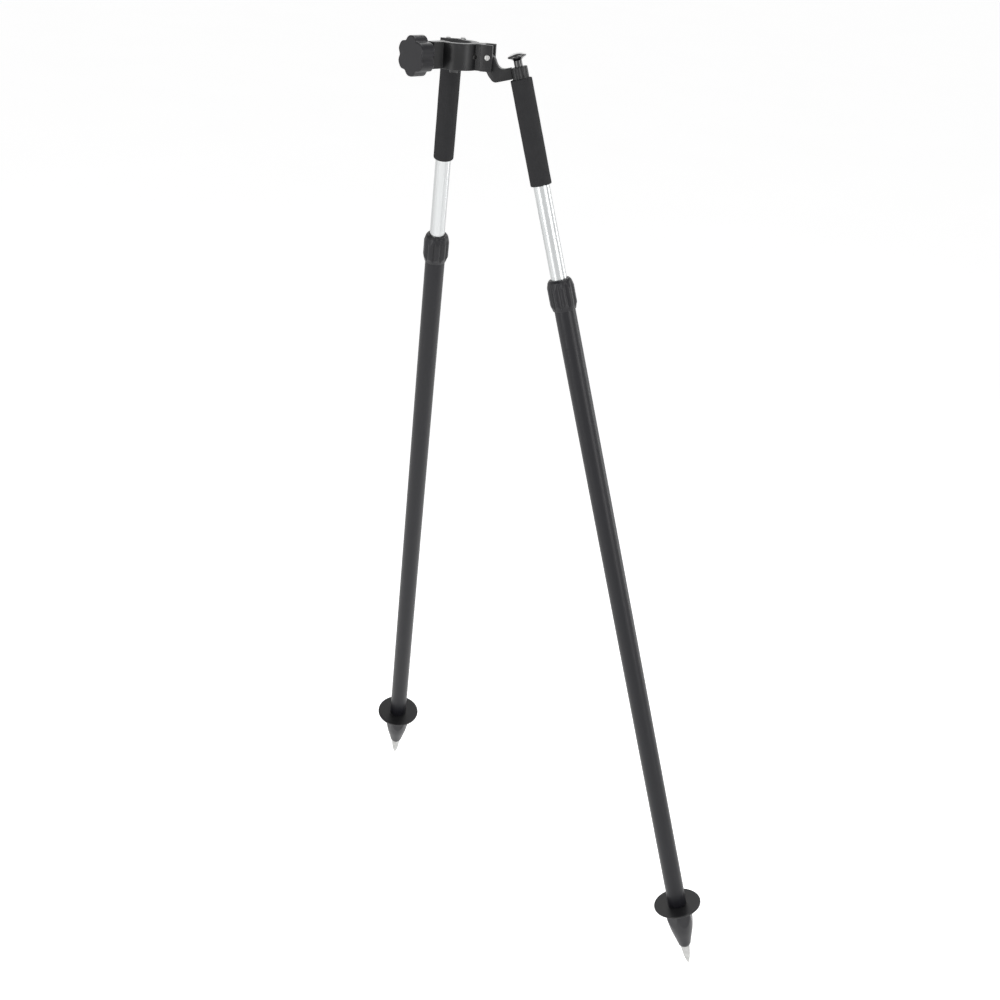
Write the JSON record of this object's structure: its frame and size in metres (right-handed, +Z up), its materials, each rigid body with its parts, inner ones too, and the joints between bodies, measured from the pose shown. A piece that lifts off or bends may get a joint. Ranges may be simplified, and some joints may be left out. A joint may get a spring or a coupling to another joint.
{
  "type": "surveying pole bipod",
  "caption": "Telescopic bipod that clamps on a survey pole and steadies it, with thumb-release legs, foam grips, twist collars and pointed feet.",
  "frame": {"origin": "on the axis of the clamped pole, at mid-height of the clamp", "axes": "+Z up the pole, +Y halfway between the two legs and away from the clamp knob, -X out of the mouth of the clamp"},
  "size_m": [0.6738, 0.3125, 1.2209],
  "materials": {
    "anodised": "satin black anodised",
    "tube_black": "satin black anodised tube",
    "tube_bright": "satin clear anodised tube",
    "moulded": "matte black glass-filled nylon",
    "gloss": "polished black",
    "foam": "closed-cell foam",
    "steel": "turned stainless steel",
    "rod": "drawn aluminium rod",
    "nylon": "natural nylon"
  },
  "bodies": {
    "head": {"clamp_body": "anodised", "clamp_grub_screw": "steel", "right_pivot_pin": "steel", "right_pivot_washer_a": "nylon", "right_pivot_washer_b": "nylon", "rear_pivot_pin": "steel", "rear_pivot_washer_a": "nylon", "rear_pivot_washer_b": "nylon"},
    "pad": {"pressure_pad": "nylon"},
    "knob": {"clamp_knob": "moulded", "clamp_stud": "steel"},
    "right_upper": {"right_arm": "anodised", "right_head": "anodised", "right_head_screw": "anodised", "right_grip": "foam", "right_upper_tube": "tube_bright", "right_end_bush": "nylon", "right_button_spring": "steel"},
    "right_plunger": {"right_button": "gloss", "right_release_rod": "rod", "right_lock_wedge": "steel"},
    "right_shoe_a": {"right_lock_shoe_a": "nylon"},
    "right_shoe_b": {"right_lock_shoe_b": "nylon"},
    "right_lower": {"right_lower_tube": "tube_black", "right_collet": "nylon", "right_foot_plug": "anodised", "right_step_disc": "anodised", "right_foot_cone": "moulded", "right_steel_point": "steel"},
    "right_collar": {"right_collar": "moulded"},
    "rear_upper": {"rear_arm": "anodised", "rear_head": "anodised", "rear_head_screw": "anodised", "rear_grip": "foam", "rear_upper_tube": "tube_bright", "rear_end_bush": "nylon", "rear_button_spring": "steel"},
    "rear_plunger": {"rear_button": "gloss", "rear_release_rod": "rod", "rear_lock_wedge": "steel"},
    "rear_shoe_a": {"rear_lock_shoe_a": "nylon"},
    "rear_shoe_b": {"rear_lock_shoe_b": "nylon"},
    "rear_lower": {"rear_lower_tube": "tube_black", "rear_collet": "nylon", "rear_foot_plug": "anodised", "rear_step_disc": "anodised", "rear_foot_cone": "moulded", "rear_steel_point": "steel"},
    "rear_collar": {"rear_collar": "moulded"}
  },
  "joints": [
    {"name": "pad_travel", "type": "slide", "parent": "head", "child": "pad", "axis": [0, 1, 0], "range_m": [0, 0.0036]},
    {"name": "knob_turn", "type": "hinge", "parent": "pad", "child": "knob", "pos_m": [-0.0065, -0.0569, 0], "axis": [0, 1, 0], "range_deg": [0, 1260]},
    {"name": "right_leg_fold", "type": "hinge", "parent": "head", "child": "right_upper", "pos_m": [0.02851, 0.01996, 0.001], "axis": [0.5736, -0.8192, 0], "range_deg": [-15.5, 45]},
    {"name": "right_leg_extend", "type": "slide", "parent": "right_upper", "child": "right_lower", "axis": [0.2189, 0.1533, -0.9636], "range_m": [-0.109, 0.58]},
    {"name": "right_button_press", "type": "slide", "parent": "right_upper", "child": "right_plunger", "axis": [0.2189, 0.1533, -0.9636], "range_m": [0, 0.006], "stiffness_N_per_m": 800, "springref_m": -0.006, "deforming": ["right_button_spring"]},
    {"name": "right_shoe_a_retract", "type": "slide", "parent": "right_upper", "child": "right_shoe_a", "axis": [0.5736, -0.8192, 0], "range_m": [0, 0.00055]},
    {"name": "right_shoe_b_retract", "type": "slide", "parent": "right_upper", "child": "right_shoe_b", "axis": [-0.5736, 0.8192, 0], "range_m": [0, 0.00055]},
    {"name": "right_collar_turn", "type": "hinge", "parent": "right_lower", "child": "right_collar", "pos_m": [0.11453, 0.08019, -0.26041], "axis": [0.2189, 0.1533, -0.9636], "range_deg": [0, 120]},
    {"name": "rear_leg_fold", "type": "hinge", "parent": "head", "child": "rear_upper", "pos_m": [-0.02851, 0.01996, 0.001], "axis": [0.5736, 0.8192, 0], "range_deg": [-15.5, 45]},
    {"name": "rear_leg_extend", "type": "slide", "parent": "rear_upper", "child": "rear_lower", "axis": [-0.2189, 0.1533, -0.9636], "range_m": [-0.1036, 0.5854]},
    {"name": "rear_button_press", "type": "slide", "parent": "rear_upper", "child": "rear_plunger", "axis": [-0.2189, 0.1533, -0.9636], "range_m": [0, 0.006], "stiffness_N_per_m": 800, "springref_m": -0.006, "deforming": ["rear_button_spring"]},
    {"name": "rear_shoe_a_retract", "type": "slide", "parent": "rear_upper", "child": "rear_shoe_a", "axis": [0.5736, 0.8192, 0], "range_m": [0, 0.00055]},
    {"name": "rear_shoe_b_retract", "type": "slide", "parent": "rear_upper", "child": "rear_shoe_b", "axis": [-0.5736, -0.8192, 0], "range_m": [0, 0.00055]},
    {"name": "rear_collar_turn", "type": "hinge", "parent": "rear_lower", "child": "rear_collar", "pos_m": [-0.11334, 0.07936, -0.2552], "axis": [-0.2189, 0.1533, -0.9636], "range_deg": [0, 120]}
  ],
  "couplings": [
    {"joint": "pad_travel", "follows": "knob_turn", "m_per_rad": 0.00015915},
    {"joint": "right_shoe_a_retract", "follows": "right_button_press", "ratio": 0.09},
    {"joint": "right_shoe_b_retract", "follows": "right_button_press", "ratio": 0.09},
    {"joint": "rear_shoe_a_retract", "follows": "rear_button_press", "ratio": 0.09},
    {"joint": "rear_shoe_b_retract", "follows": "rear_button_press", "ratio": 0.09}
  ]
}
